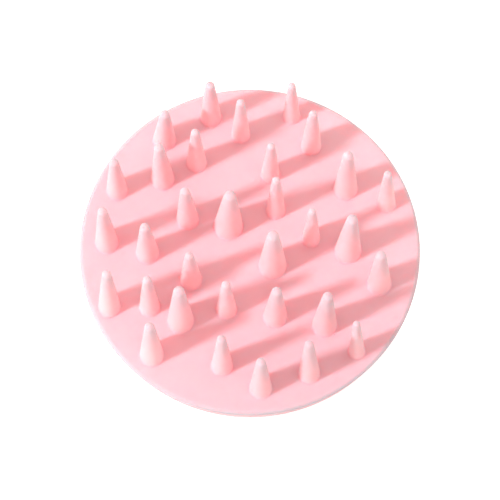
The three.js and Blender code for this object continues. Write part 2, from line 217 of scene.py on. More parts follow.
class Surface:
    """Points in millimetres, and faces between them, that become one closed mesh."""

    def __init__(self):
        self.points = []
        self.faces = []
        self.traits = {"thin": {}, "stalk": {}, "rim": {}}  # values from 0 to 1 at some points

    def add(self, x, y, z):
        self.points.append((x, y, z))
        return len(self.points) - 1

    def ring(self, radius, height, sides, centre=(0, 0)):
        """A ring of points, whose height is a number or a function of x and y."""
        loop = []
        for i in range(sides):
            x = centre[0] + radius * cos(tau * i / sides)
            y = centre[1] + radius * sin(tau * i / sides)
            loop.append(self.add(x, y, height(x, y) if callable(height) else height))
        return loop

    def band(self, first, second):
        """Quads between two rings with the same number of points."""
        for i in range(len(first)):
            j = (i + 1) % len(first)
            self.faces.append((first[i], first[j], second[j], second[i]))

    def fan(self, loop, x, y, z):
        """Triangles from a ring to one point, which is returned."""
        apex = self.add(x, y, z)
        for i in range(len(loop)):
            self.faces.append((loop[i], loop[(i + 1) % len(loop)], apex))
        return apex

    def turn(self, outline, sides, start=None, centre=(0, 0)):
        """Carries a ring round an outline of (radius, height) points. Returns its first and last ring.
        A radius of nothing closes the surface on the axis."""
        first = last = start
        for radius, height in outline:
            if radius < 1e-6:
                self.fan(last, *centre, height)
                last = None
                break
            here = self.ring(radius, height, sides, centre)
            if last:
                self.band(last, here)
            first = first or here
            last = here
        return first, last

    def fill(self, outer, holes, height, inside):
        """Triangles between the ring `outer` and the rings `holes`, through the plan points `inside`."""
        loops = [outer, *holes]
        ids = [i for loop in loops for i in loop]
        edges = []
        start = 0
        for loop in loops:
            count = len(loop)
            edges += [(start + i, start + (i + 1) % count) for i in range(count)]
            start += count
        for x, y in inside:
            ids.append(self.add(x, y, height(x, y) if callable(height) else height))
        plan = [Vector(self.points[i][:2]) for i in ids]
        found = delaunay_2d_cdt(plan, edges, [], 0, 1e-5)
        source = [ids[old[0]] for old in found[3]]
        owner = {i: k for k, loop in enumerate(holes) for i in loop}
        for corners in found[2]:
            face = tuple(source[i] for i in corners)
            owners = {owner.get(i) for i in face}
            if len(owners) == 1 and None not in owners:
                continue
            self.faces.append(face)


def grid_points(reach, spacing, keep_out, start=0):
    """Plan points on a triangular grid between two radii that stay clear of the circles `keep_out`."""
    found = []
    rows = int(reach / (spacing * sqrt(0.75))) + 1
    columns = int(reach / spacing) + 1
    for row in range(-rows, rows + 1):
        for column in range(-columns, columns + 1):
            x = spacing * (column + 0.5 * (row % 2))
            y = spacing * sqrt(0.75) * row
            if start < hypot(x, y) < reach and clear_of(x, y, keep_out, spacing * 0.45):
                found.append((x, y))
    return found


def clear_of(x, y, circles, gap):
    return all(hypot(x - cx, y - cy) > radius + gap for cx, cy, radius in circles)


def smooth(share):
    """Eases from 0 to 1 as the share goes from 0 to 1."""
    share = min(1, max(0, share))
    return share * share * (3 - 2 * share)


def arc(centre, size, start, end, steps):
    """Points round part of an ellipse in the (radius, height) plane, with angles in degrees."""
    points = []
    for i in range(steps + 1):
        angle = radians(start + (end - start) * i / steps)
        points.append((centre[0] + size[0] * cos(angle), centre[1] + size[1] * sin(angle)))
    return points


def eased(corners, steps=4):
    """An outline of (radius, height) or (radius, height, round) points, with true arcs at its rounds."""
    points = []
    for i, corner in enumerate(corners):
        if len(corner) == 2:
            points.append(corner)
            continue
        here = Vector(corner[:2])
        back = (Vector(corners[i - 1][:2]) - here).normalized()
        on = (Vector(corners[(i + 1) % len(corners)][:2]) - here).normalized()
        half = back.angle(on) / 2
        centre = here + (back + on).normalized() * (corner[2] / sin(half))
        spoke = here + back * (corner[2] / tan(half)) - centre
        far_spoke = here + on * (corner[2] / tan(half)) - centre
        sweep = spoke.angle_signed(far_spoke)
        for k in range(steps + 1):
            turned = Matrix.Rotation(-sweep * k / steps, 2) @ spoke
            points.append(tuple(centre + turned))
    return points


def make_piece(name, surface, nodes, body, slot, material, even_normals=True):
    """Turns a surface into a piece that stands for CAD nodes and rides on a body."""
    mesh = bpy.data.meshes.new(name)
    mesh.from_pydata([Vector(point) * MM for point in surface.points], [], surface.faces)
    shell = bmesh.new()
    shell.from_mesh(mesh)
    bmesh.ops.recalc_face_normals(shell, faces=shell.faces)
    shell.to_mesh(mesh)
    shell.free()
    mesh.shade_smooth()
    mesh.materials.append(material)
    for trait, values in surface.traits.items():
        if values:
            layer = mesh.attributes.new(trait, "FLOAT", "POINT")
            for index, value in values.items():
                layer.data[index].value = value
    piece = bpy.data.objects.new(name, mesh)
    bpy.context.scene.collection.objects.link(piece)
    if even_normals:
        weighted = piece.modifiers.new("even_normals", "WEIGHTED_NORMAL")
        weighted.keep_sharp = True
    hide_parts(*nodes)
    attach(piece, body)
    return piece


# ---- Silicone face ----


def face_height(x, y):
    """Height of the face, which is very slightly uneven and rounds over at the rim."""
    past = max(0, hypot(x, y) - (FACE_RADIUS - RIM_ROUND))
    drop = RIM_ROUND - sqrt(max(0, RIM_ROUND**2 - past**2))
    swell = FACE_SWELL * noise.noise(Vector((x, y, 0)) / SWELL_SPAN)
    return FACE_TOP - drop + swell


def bristle_facts(node):
    """Place in plan, base radius, height, sideways lean and root fillet of a CAD bristle."""
    low, high = span(node)
    x, y = middle(node)
    base = half_width(node)
    tip = max(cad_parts[node].data.vertices, key=lambda vertex: vertex.co.z)
    fillet = min(ROOT_FILLET, FACE_RADIUS - ROOT_TO_RIM - hypot(x, y) - base)
    return x, y, base, high.z - low.z, tip.co.x / MM - x, fillet


def bristle_outline(base, height, fillet):
    """A root fillet, a full flank and a round tip, as (radius, height above the face) points."""
    blunt = SLIM_TIP + TIP_PER_MM * (base - SLIM_BASE)
    slope = atan((base - blunt) * FLANK_POWER / height)
    tip = blunt / cos(slope)
    shoulder = height - tip * (1 - sin(slope))

    def flank(rise):
        return blunt + (base - blunt) * (1 - (rise / shoulder) ** FLANK_POWER)

    points = []
    for i in range(FILLET_STEPS + 1):
        angle = pi / 2 * i / FILLET_STEPS
        rise = fillet * (1 - cos(angle))
        points.append((flank(rise) + fillet * (1 - sin(angle)), rise))
    for i in range(1, FLANK_STEPS + 1):
        rise = fillet + (shoulder - fillet) * i / FLANK_STEPS
        points.append((flank(rise), rise))
    for i in range(1, TIP_STEPS):
        angle = slope + (pi / 2 - slope) * i / TIP_STEPS
        points.append((tip * cos(angle), shoulder + tip * (sin(angle) - sin(slope))))
    return points


def grow_bristle(surface, x, y, base, height, lean, fillet):
    """Adds a bristle that blends into the face. Returns the ring where the face begins."""
    def level(rise):
        share = min(1, rise / fillet)
        return lambda px, py: rise + face_height(px, py) * (1 - share) + FACE_TOP * share

    edge = surface.ring(base + fillet + ROOT_MARGIN, face_height, BRISTLE_SIDES, (x, y))
    last = edge
    for radius, rise in bristle_outline(base, height, fillet):
        centre = (x + lean * rise / height, y)
        here = surface.ring(radius, level(rise), BRISTLE_SIDES, centre)
        thin = smooth((rise / height - TIP_THIN) / (1 - TIP_THIN))
        surface.traits["thin"].update({i: thin for i in here})
        surface.traits["stalk"].update({i: smooth(rise / ROOT_FADE) for i in here})
        surface.band(last, here)
        last = here
    apex = surface.fan(last, x + lean, y, FACE_TOP + height)
    surface.traits["thin"][apex] = 1
    surface.traits["stalk"][apex] = 1
    return edge


def grow_peg(surface, node):
    """Adds a fixing peg under the ceiling. Returns the ring where the ceiling begins."""
    low = span(node)[0]
    radius = half_width(node)
    outline = eased([
        (radius + PEG_FILLET * 2, CEILING),
        (radius, CEILING, PEG_FILLET),
        (radius, low.z + PEG_NOSE, EASE),
        (radius - PEG_NOSE / 2, low.z, EASE),
        (radius / 2, low.z),
        (0, low.z),
    ])
    return surface.turn(outline, SMALL_SIDES, centre=middle(node))[0]


def silicone_face():
    """The whole soft moulding: face, bristles, rim, skirt and the pegs inside."""
    surface = Surface()
    grown = [node for node in nodes_like("bristle_") if node != "bristle_pad"]
    bristles = [bristle_facts(node) for node in grown]
    roots = [(x, y, base + fillet + ROOT_MARGIN) for x, y, base, _, _, fillet in bristles]
    flat = FACE_RADIUS - RIM_ROUND
    inside = grid_points(flat - FACE_SPACING / 2, FACE_SPACING, roots)
    for angle in range(0, SHEET_LIMIT, SHEET_STEP):
        radius = flat + RIM_ROUND * sin(radians(angle))
        spots = [(radius * cos(tau * i / RIM_SIDES), radius * sin(tau * i / RIM_SIDES))
                 for i in range(RIM_SIDES)]
        inside += [spot for spot in spots if clear_of(*spot, roots, EASE)]
    edge = surface.ring(flat + RIM_ROUND * sin(radians(SHEET_LIMIT)), face_height, RIM_SIDES)
    holes = [grow_bristle(surface, *facts) for facts in bristles]
    surface.fill(edge, holes, face_height, inside)

    inner = FACE_RADIUS - SKIN
    upper = arc((flat, FACE_TOP - RIM_ROUND), (RIM_ROUND, RIM_ROUND), 90 - SHEET_LIMIT, 0, 4)
    brink = upper[-1]
    down = Vector((SKIRT_FOOT, SKIRT_BASE)) - Vector(brink)
    skirt = eased([
        *[tuple(Vector(brink) + down * share) for share in SKIRT_SHARES],
        (SKIRT_FOOT, SKIRT_BASE, FOOT_ROUND),
        (inner, SKIRT_BASE, EASE),
        (inner, CEILING, EASE * 2),
        (inner - EASE * 4, CEILING),
    ])
    rim = surface.turn([*upper[1:-1], *skirt], RIM_SIDES, start=edge)[1]
    for i, (x, y, z) in enumerate(surface.points):
        share = smooth((hypot(x, y) - FACE_RADIUS + RIM_FADE) / RIM_FADE)
        share *= smooth((z - FACE_TOP + RIM_DEPTH) / (RIM_DEPTH - RIM_ROUND))
        if z <= FACE_TOP + FACE_SWELL and share > 0:
            surface.traits["rim"][i] = share
    pegs = nodes_like("fixing_peg_")
    peg_roots = [grow_peg(surface, node) for node in pegs]
    circles = [(*middle(node), PEG_HOLE + EASE) for node in pegs]
    surface.fill(rim, peg_roots, CEILING, grid_points(inner - EASE * 8, CEILING_SPACING, circles))
    return surface, ["bristle_pad", *grown, *pegs]


# ---- Inner plate ----


def drill(surface, centre, outline, sides=SMALL_SIDES):
    """Adds the wall of a hole or a boss. Returns its first and last ring."""
    return surface.turn(eased(outline), sides, centre=centre)


def inner_plate():
    """The rigid disc that the pegs push into, with countersunk screw holes and a stiffening rib."""
    surface = Surface()
    base = PLATE_TOP - PLATE_THICKNESS
    screws = nodes_like("plate_screw_")
    head = half_width(screws[0]) + SEAT
    hole = PLATE_SHANK + CLEARANCE_ROOM
    upper, lower, lower_inner, circles = [], [], [], []
    for node in nodes_like("fixing_peg_"):
        first, last = drill(surface, middle(node), [
            (PEG_HOLE + PLATE_CHAMFER, PLATE_TOP),
            (PEG_HOLE, PLATE_TOP - PLATE_CHAMFER),
            (PEG_HOLE, base + EASE / 2),
            (PEG_HOLE + EASE / 2, base),
        ])
        upper.append(first)
        lower_inner.append(last)
        circles.append((*middle(node), PEG_HOLE + PLATE_CHAMFER))
    for node in screws:
        first, last = drill(surface, middle(node), [
            (head, PLATE_TOP),
            (hole, PLATE_TOP - PLATE_SINK),
            (hole, base),
        ])
        upper.append(first)
        lower.append(last)
        circles.append((*middle(node), head))
    rib_in = RIB_RADIUS - RIB_WIDTH / 2
    rib_out = RIB_RADIUS + RIB_WIDTH / 2
    sides = TURNED_SIDES
    top, bottom = surface.turn([
        (PLATE_RADIUS - PLATE_CHAMFER, PLATE_TOP),
        (PLATE_RADIUS, PLATE_TOP - PLATE_CHAMFER),
        (PLATE_RADIUS, base + EASE),
        (PLATE_RADIUS - EASE, base),
    ], sides)
    outer_rib, inner_rib = surface.turn(eased([
        (rib_out + EASE, base),
        (rib_out, base, EASE / 2),
        (rib_out, base - RIB_DEPTH, EASE),
        (rib_in, base - RIB_DEPTH, EASE),
        (rib_in, base, EASE / 2),
        (rib_in - EASE, base),
    ]), sides)
    reach = PLATE_RADIUS - PLATE_MARGIN
    surface.fill(top, upper, PLATE_TOP, grid_points(reach, PLATE_SPACING, circles))
    surface.fill(bottom, [outer_rib, *lower], base,
                 grid_points(reach, PLATE_SPACING, circles, start=rib_out + PLATE_MARGIN))
    surface.fill(inner_rib, lower_inner, base,
                 grid_points(rib_in - PLATE_MARGIN, PLATE_SPACING, circles))
    return surface, ["carrier_plate"]


# ---- Back cover ----


def saucer(radius):
    """Height of the cover's underside at a radius."""
    reach = max(0, radius - COVER_SEAT_RADIUS) / (COVER_RADIUS - COVER_SEAT_RADIUS)
    edge = SKIRT_BASE - EASE - COVER_EDGE
    return COVER_SEAT + (edge - COVER_SEAT) * reach**COVER_POWER


def saucer_cover():
    """The shallow shell under the plate, with screw bosses inside and a step that fits the skirt."""
    surface = Surface()
    sides = TURNED_SIDES
    step = SKIRT_BASE - EASE
    rim_inside = PLATE_RADIUS - COVER_RIM_WALL
    hole = SPIGOT_RADIUS + PILOT_ROOM
    floor_top = COVER_SEAT + COVER_WALL

    def floor(x, y):
        return saucer(hypot(x, y)) + COVER_WALL

    bosses, through_top, through_low, boss_circles = [], [], [], []
    for node in nodes_like("plate_screw_"):
        centre = middle(node)
        root = BOSS_RADIUS + EASE * 2
        edge = surface.ring(root, floor, SMALL_SIDES, centre)
        last = edge
        for radius, rise in ((BOSS_RADIUS + EASE * 0.6, EASE * 0.3), (BOSS_RADIUS, EASE * 1.4)):
            here = surface.ring(radius, lambda x, y: floor(x, y) + rise, SMALL_SIDES, centre)
            surface.band(last, here)
            last = here
        pilot = PLATE_SHANK + PILOT_ROOM
        surface.turn(eased([
            (BOSS_RADIUS, COVER_TOP, EASE / 2),
            (pilot + EASE, COVER_TOP),
            (pilot, COVER_TOP - EASE),
            (pilot, span(node)[0].z - PILOT_DEEPER),
            (0, span(node)[0].z - PILOT_DEEPER),
        ]), SMALL_SIDES, start=last, centre=centre)
        bosses.append(edge)
        boss_circles.append((*centre, root))
    for node in nodes_like("stem_screw_"):
        clearance = STEM_SHANK + CLEARANCE_ROOM
        first, last = drill(surface, middle(node), [(clearance, floor_top), (clearance, COVER_SEAT)])
        through_top.append(first)
        through_low.append(last)

    reach = COVER_RADIUS - COVER_SEAT_RADIUS
    curve = [COVER_SEAT_RADIUS + reach * i / CURVE_STEPS for i in range(CURVE_STEPS)]
    outside = [(radius, saucer(radius)) for radius in curve]
    edge_base = saucer(COVER_RADIUS)
    outside += eased([
        (COVER_RADIUS - EASE * 3, saucer(COVER_RADIUS - EASE * 3)),
        (COVER_RADIUS, edge_base, EASE),
        (COVER_RADIUS, step, EASE / 2),
        (PLATE_RADIUS, step, EASE / 2),
        (PLATE_RADIUS, COVER_TOP, EASE / 2),
        (rim_inside, COVER_TOP, EASE / 2),
        (rim_inside, saucer(rim_inside) + COVER_WALL, EASE),
        (rim_inside - EASE * 2, saucer(rim_inside - EASE * 2) + COVER_WALL),
    ])
    seat_low, shell_inside = surface.turn(outside, sides)
    seat_top = surface.ring(COVER_SEAT_RADIUS, floor_top, sides)
    spots = grid_points(rim_inside - 2, COVER_SPACING, boss_circles,
                        start=COVER_SEAT_RADIUS + COVER_SPACING / 2)
    surface.fill(shell_inside, [seat_top, *bosses], floor, spots)
    bore_top, bore_low = surface.turn([(hole, floor_top), (hole, COVER_SEAT)], sides)
    surface.fill(seat_top, [bore_top, *through_top], floor_top, [])
    surface.fill(seat_low, [bore_low, *through_low], COVER_SEAT, [])
    return surface, ["back_cover"]


# ---- Stem ----


def waist(height):
    """Outer radius of the stem, widest at its two ends."""
    above = height > STEM_WAIST_HEIGHT
    top = STEM_TOP - SPIGOT_LENGTH - STEM_FLANGE_BAND
    end = top if above else STEM_BASE + STEM_FOOT_BAND
    wide = STEM_RADIUS if above else STEM_FOOT
    share = (height - STEM_WAIST_HEIGHT) / (end - STEM_WAIST_HEIGHT)
    return STEM_WAIST + (wide - STEM_WAIST) * share**2


def waisted_stem():
    """The hollow post between the cover and the knob, with a spigot, a bore and three screw holes."""
    surface = Surface()
    sides = TURNED_SIDES
    flange_top = STEM_TOP - SPIGOT_LENGTH
    low = STEM_BASE + STEM_FOOT_BAND
    high = flange_top - STEM_FLANGE_BAND
    heights = [low + (high - low) * i / CURVE_STEPS for i in range(CURVE_STEPS + 1)]
    pilot = STEM_SHANK + PILOT_ROOM
    centre_hole = KNOB_SHANK + PILOT_ROOM
    first, flange = surface.turn([
        (centre_hole, STEM_BASE),
        (STEM_FOOT / 2, STEM_BASE),
        *eased([(STEM_FOOT / 2, STEM_BASE), (STEM_FOOT, STEM_BASE, EASE), (STEM_FOOT, low)])[1:-1],
        *[(waist(height), height) for height in heights],
        *eased([(STEM_RADIUS, high), (STEM_RADIUS, flange_top, EASE),
                (STEM_RADIUS - LEAD, flange_top)])[1:],
    ], sides)
    spigot, last = surface.turn(eased([
        (SPIGOT_RADIUS, flange_top),
        (SPIGOT_RADIUS, STEM_TOP, EASE),
        (STEM_BORE, STEM_TOP, EASE),
        (STEM_BORE, STEM_FLOOR, EASE),
        (centre_hole, STEM_FLOOR),
        (centre_hole, STEM_BASE + EASE),
    ]), sides)
    surface.band(last, first)
    holes = [spigot]
    for node in nodes_like("stem_screw_"):
        foot = span(node)[0].z - PILOT_DEEPER
        holes.append(drill(surface, middle(node), [
            (pilot + EASE, flange_top),
            (pilot, flange_top - EASE),
            (pilot, foot),
            (0, foot),
        ], 20)[0])
    surface.fill(flange, holes, flange_top, [])
    return surface, ["handle_stem"]


# ---- Knob, grip and cap ----


def palm_knob():
    """The round knob, open underneath, with a groove for the grip and a recess for the stem."""
    surface = Surface()
    recess_floor = STEM_BASE - SEAT
    ceiling = recess_floor - KNOB_WALL
    ledge = CAP_THICKNESS + SEAT
    mouth = CAP_RADIUS + EASE
    screw_hole = KNOB_SHANK + CLEARANCE_ROOM
    boss = span("knob_screw")[1].x + KNOB_BOSS_WALL
    boss_end = ceiling - KNOB_BOSS_DROP
    band_top = KNOB_TOP - KNOB_SHOULDER[1]
    band_base = KNOB_BASE + KNOB_HEEL[1]
    groove = KNOB_RADIUS - BAND_DEPTH
    recess = STEM_FOOT + EASE
    inside = eased([
        (screw_hole, boss_end),
        (boss, boss_end, EASE),
        (boss, ceiling, EASE),
        (KNOB_BORE, ceiling, KNOB_CORNER),
        (KNOB_BORE, ledge, EASE / 2),
        (mouth, ledge, EASE / 2),
        (mouth, KNOB_BASE, EASE / 2),
        (KNOB_RADIUS - KNOB_HEEL[0], KNOB_BASE),
    ])
    heel = arc((KNOB_RADIUS - KNOB_HEEL[0], band_base), KNOB_HEEL, -90, 0, 12)
    channel = eased([
        (KNOB_RADIUS, band_base - LEAD),
        (KNOB_RADIUS, band_base, EASE / 2),
        (groove, band_base, EASE / 2),
        (groove, band_top, EASE / 2),
        (KNOB_RADIUS, band_top, EASE / 2),
        (KNOB_RADIUS, band_top + LEAD),
    ])
    shoulder = arc((KNOB_RADIUS - KNOB_SHOULDER[0], band_top), KNOB_SHOULDER, 0, 90, 18)
    recess_wall = eased([
        (KNOB_RADIUS - KNOB_SHOULDER[0] - LEAD, KNOB_TOP),
        (recess, KNOB_TOP, EASE),
        (recess, recess_floor, EASE),
        (screw_hole, recess_floor),
    ])
    outline = [*inside, *heel[1:-1], *channel[1:-1], *shoulder[1:], *recess_wall]
    first, last = surface.turn(outline, TURNED_SIDES)
    surface.band(last, first)
    return surface, ["handle_knob"]


def ribbed_grip():
    """The soft band round the knob, with upright ribs that fade out at its two edges."""
    surface = Surface()
    inner = KNOB_RADIUS - BAND_DEPTH + EASE / 2
    tall = BAND_TOP - BAND_BASE
    outline = eased([
        (inner, BAND_BASE),
        (BAND_RADIUS, BAND_BASE, BAND_ROUND),
        *[(BAND_RADIUS, BAND_BASE + tall * i / BAND_LEVELS) for i in range(2, BAND_LEVELS - 1)],
        (BAND_RADIUS, BAND_TOP, BAND_ROUND),
        (inner, BAND_TOP),
    ], 5)
    sides = RIB_COUNT * RIB_SAMPLES
    rings = []
    for radius, height in outline:
        up = (height - BAND_BASE) / tall
        window = min(1, RIB_FADE * up, RIB_FADE * (1 - up)) if radius > inner + EASE else 0
        loop = []
        for i in range(sides):
            angle = tau * i / sides
            valley = (0.5 - 0.5 * cos(tau * i / RIB_SAMPLES)) ** 2
            out = radius - GRIP_RIB * window * valley
            loop.append(surface.add(out * cos(angle), out * sin(angle), height))
        rings.append(loop)
    for k, loop in enumerate(rings):
        surface.band(loop, rings[(k + 1) % len(rings)])
    return surface, ["grip_band"]


def rest_cap():
    """The flat cap that the brush stands on, with a shallow dish and a ring that snaps in the knob."""
    surface = Surface()
    ring = KNOB_BORE - EASE
    hub = 0.01  # the flat ends are closed by one face each
    dish_ring, dish_floor, dish_edge = DISH_RADII
    surface.turn(eased([
        (hub, CAP_DISH),
        (dish_ring, CAP_DISH),
        (dish_floor, CAP_DISH, DISH_ROUNDS[0]),
        (dish_edge, 0, DISH_ROUNDS[1]),
        (CAP_RADIUS - CAP_CHAMFER, 0, EASE),
        (CAP_RADIUS, CAP_CHAMFER, EASE),
        (CAP_RADIUS, CAP_THICKNESS, EASE / 2),
        (ring, CAP_THICKNESS, EASE / 3),
        (ring, CAP_TOP, EASE),
        (ring - CAP_RING_WALL, CAP_TOP, EASE),
        (ring - CAP_RING_WALL, CAP_THICKNESS, EASE),
        (dish_ring, CAP_THICKNESS),
        (hub, CAP_THICKNESS),
    ]), TURNED_SIDES)
    surface.faces.append(tuple(range(TURNED_SIDES)))
    surface.faces.append(tuple(range(len(surface.points) - TURNED_SIDES, len(surface.points))))
    return surface, ["end_cap"]


# ---- Screws ----


def cross_recess(surface, rim, centre, top, way, size):
    """Closes a screw head with a tapered cross. `way` is +1 if the head faces up."""
    arm = size * CROSS_ARM
    loops = []
    for depth, share in ((0, 1), (size * CROSS_DEPTH, 0.5)):
        reach = size * share
        width = arm * (0.6 + 0.4 * share)
        corner = [(reach, -width), (reach, width), (width, width)]
        loop = []
        for quarter in range(4):
            for x, y in corner:
                turned = Matrix.Rotation(tau * quarter / 4, 2) @ Vector((x, y))
                height = top - way * depth
                loop.append(surface.add(centre[0] + turned.x, centre[1] + turned.y, height))
        loops.append(loop)
    surface.band(loops[0], loops[1])
    surface.faces.append(tuple(loops[1]))
    bridge_star(surface, rim, loops[0])


def bridge_star(surface, rim, star):
    """Triangles between a ring and a star-shaped loop inside it, matched by angle."""
    count = len(rim)
    per = count / len(star)
    for k in range(len(star)):
        start = round(k * per)
        end = round((k + 1) * per)
        after = star[(k + 1) % len(star)]
        for i in range(start, end):
            surface.faces.append((rim[i % count], rim[(i + 1) % count], star[k]))
        surface.faces.append((rim[end % count], after, star[k]))


def screw(node, seat, shank, head, tip):
    """A self-tapping screw along Z. `head` holds (radius, height past the seat) points from the
    seat to the flat top."""
    surface = Surface()
    centre = middle(node)
    way = 1 if seat > tip else -1
    sides = SCREW_SIDES
    length = abs(seat - tip)
    steps = int(length / THREAD_PITCH * THREAD_STEPS)
    last = None
    for i in range(1, steps + 1):
        rise = length * i / steps
        taper = min(1, rise / SCREW_POINT)
        root = (shank - THREAD_DEPTH) * taper
        plain = rise > length - THREAD_PITCH
        loop = []
        for k in range(sides):
            turns = rise / THREAD_PITCH - way * k / sides
            crest = 0 if plain else max(0, 1 - abs((turns % 1) - 0.5) * 3)
            out = max(0.05, root + THREAD_DEPTH * crest * taper)
            x = centre[0] + out * cos(tau * k / sides)
            y = centre[1] + out * sin(tau * k / sides)
            loop.append(surface.add(x, y, tip + way * rise))
        if last:
            surface.band(last, loop)
        else:
            surface.fan(loop, *centre, tip)
        last = loop
    outline = [(radius, seat + way * out) for radius, out in eased(head)]
    rim = surface.turn(outline, sides, start=last, centre=centre)[1]
    cross_recess(surface, rim, centre, outline[-1][1], way, outline[-1][0] * CROSS_REACH)
    return surface, [node]


def pan_head(wide, tall, upright, side_round, top_round):
    """A pan head's outline from its seat to its flat top, with a small chamfer under its edge."""
    chamfer = 0.1
    return [
        (wide - chamfer, 0),
        (wide, chamfer),
        (wide, upright, side_round),
        (wide * 0.7, tall, top_round),
        (wide * 0.62, tall),
    ]


def all_screws():
    """Names of the screw pieces, each with its surface and the node that it stands for: four in the
    plate, three in the stem and one in the knob."""
    made = []
    for i, node in enumerate(nodes_like("plate_screw_")):
        low, high = span(node)
        wide = half_width(node)
        edge = 0.15
        head = [(PLATE_SHANK, 0), (wide, PLATE_SINK - edge, 0.1), (wide - edge, PLATE_SINK)]
        made.append((f"plate_fixing_{i + 1}",
                     screw(node, high.z - PLATE_SINK, PLATE_SHANK, head, low.z)))
    for i, node in enumerate(nodes_like("stem_screw_")):
        low, high = span(node)
        head = pan_head(half_width(node), STEM_HEAD, 1, 0.4, 0.5)
        made.append((f"stem_fixing_{i + 1}",
                     screw(node, high.z - STEM_HEAD, STEM_SHANK, head, low.z)))
    low, high = span("knob_screw")
    head = pan_head(high.x, KNOB_HEAD, 1.2, 0.5, 0.6)
    made.append(("knob_fixing", screw("knob_screw", low.z + KNOB_HEAD, KNOB_SHANK, head, high.z)))
    return made


# ---- Materials ----

MOTTLED = ((0.94, 0.49, 0.53), (0.96, 0.53, 0.57))  # the face's two blotchy pinks
RIM_COLOUR = (0.54, 0.46, 0.50)
# Painted light: the bristles' colour, a little lighter than the face's, stands in for light passing
# through them.
STALK_PAINTED_LIGHT = (0.95, 0.55, 0.57)
TIP_COLOUR = (0.51, 0.45, 0.49)
# Painted shade: the next six numbers darken the colours towards the front right, where less light falls.
FACE_PAINTED_SHADE = (0.86, 0.93, 0.94)  # painted shade: what the colours are multiplied by on the front right side
STALK_PAINTED_SHADE = (0.78, 0.86, 0.88)
TIP_PAINTED_SHADE = (0.9, 0.92, 0.93)
PAINTED_SHADE_WAY = (0.5, -0.87, 0)  # towards the front right, where the shade is painted
PAINTED_SHADE_START = 0.002  # metres past the middle along that way
PAINTED_SHADE_END = 0.038


class Shader:
    """A node material with one Principled shader, and short calls for what feeds it."""

    def __init__(self, name, **values):
        self.material = bpy.data.materials.new(name)
        self.material.use_nodes = True
        self.tree = self.material.node_tree
        self.surface = self.tree.nodes["Principled BSDF"]
        self.place = self.node("ShaderNodeTexCoord").outputs["Object"]
        for socket, value in values.items():
            self.surface.inputs[socket.replace("_", " ")].default_value = value

    def node(self, kind, **settings):
        made = self.tree.nodes.new(kind)
        for key, value in settings.items():
            setattr(made, key, value)
        return made

    def link(self, source, target):
        self.tree.links.new(source, target)

    def feed(self, source, socket):
        self.link(source, self.surface.inputs[socket])

    def cloud(self, size, detail=3.0, place=None):
        """A soft random pattern whose blotches are about `size` millimetres across."""
        made = self.node("ShaderNodeTexNoise")
        made.inputs["Scale"].default_value = 1 / (size * MM)
        made.inputs["Detail"].default_value = detail
        self.link(place or self.place, made.inputs["Vector"])
        return made.outputs["Fac"]

    def ramp(self, source, low, high, start, end):
        """Maps the stretch from low to high of a value on to the stretch from start to end."""
        made = self.node("ShaderNodeMapRange")
        made.interpolation_type = "SMOOTHSTEP"
        self.link(source, made.inputs["Value"])
        for name, value in zip(("From Min", "From Max", "To Min", "To Max"), (low, high, start, end)):
            made.inputs[name].default_value = value
        return made.outputs["Result"]

    def blend(self, share, first, second):
        """A colour between two others, each a colour or the output of a node."""
        made = self.node("ShaderNodeMix", data_type="RGBA")
        self.link(share, made.inputs["Factor"])
        for socket, colour in ((made.inputs["A"], first), (made.inputs["B"], second)):
            if isinstance(colour, tuple):
                socket.default_value = (*colour, 1)
            else:
                self.link(colour, socket)
        return made.outputs["Result"]

    def bumps(self, *layers):
        """Bump from (pattern, height in millimetres) layers, one on another."""
        normal = None
        for pattern, height in layers:
            made = self.node("ShaderNodeBump")
            made.inputs["Distance"].default_value = height * MM
            self.link(pattern, made.inputs["Height"])
            if normal:
                self.link(normal, made.inputs["Normal"])
            normal = made.outputs["Normal"]
        self.feed(normal, "Normal")


def face_silicone():
    """Translucent pink silicone, greyer in the thin bristle tips and along the rim. Its bristles are a
    little lighter than the face, as painted light for light passing through them, and its colours are
    darker towards the front right, as painted shade."""
    shader = Shader("soft_silicone", Subsurface_Weight=1, Specular_IOR_Level=0.2, IOR=1.41)
    shader.surface.inputs["Subsurface Radius"].default_value = (1, 0.27, 0.23)
    stalk, thin, rim = (shader.node("ShaderNodeAttribute", attribute_name=trait).outputs["Fac"]
                        for trait in ("stalk", "thin", "rim"))
    mottled = shader.blend(shader.cloud(14), *MOTTLED)
    edged = shader.blend(rim, mottled, RIM_COLOUR)
    # Painted light: the bristles are a little lighter than the face.
    lighter = shader.blend(stalk, edged, STALK_PAINTED_LIGHT)
    greyer = shader.blend(thin, lighter, TIP_COLOUR)
    # Painted shade: the colours are multiplied darker towards the front right, standing in for less
    # light falling there.
    across = shader.node("ShaderNodeVectorMath", operation="DOT_PRODUCT")
    shader.link(shader.place, across.inputs[0])
    across.inputs[1].default_value = PAINTED_SHADE_WAY
    front = shader.ramp(across.outputs["Value"], PAINTED_SHADE_START, PAINTED_SHADE_END, 0, 1)
    deeper = shader.node("ShaderNodeMix", data_type="RGBA", blend_type="MULTIPLY")
    shader.link(front, deeper.inputs["Factor"])
    shader.link(greyer, deeper.inputs["A"])
    shade_colour = shader.blend(stalk, FACE_PAINTED_SHADE, STALK_PAINTED_SHADE)
    shader.link(shader.blend(thin, shade_colour, TIP_PAINTED_SHADE), deeper.inputs["B"])
    shader.feed(deeper.outputs["Result"], "Base Color")
    shader.feed(shader.ramp(stalk, 0, 1, 0.0045, 0.007), "Subsurface Scale")
    duller = shader.node("ShaderNodeMath", operation="MAXIMUM")
    shader.link(shader.ramp(shader.cloud(5), 0.3, 0.7, 0.40, 0.52), duller.inputs[0])
    shader.link(shader.ramp(thin, 0.4, 1, 0.4, 0.8), duller.inputs[1])
    shader.feed(duller.outputs["Value"], "Roughness")
    shader.bumps((shader.cloud(0.35, 2), 0.006), (shader.cloud(3.5), 0.02))
    return shader.material


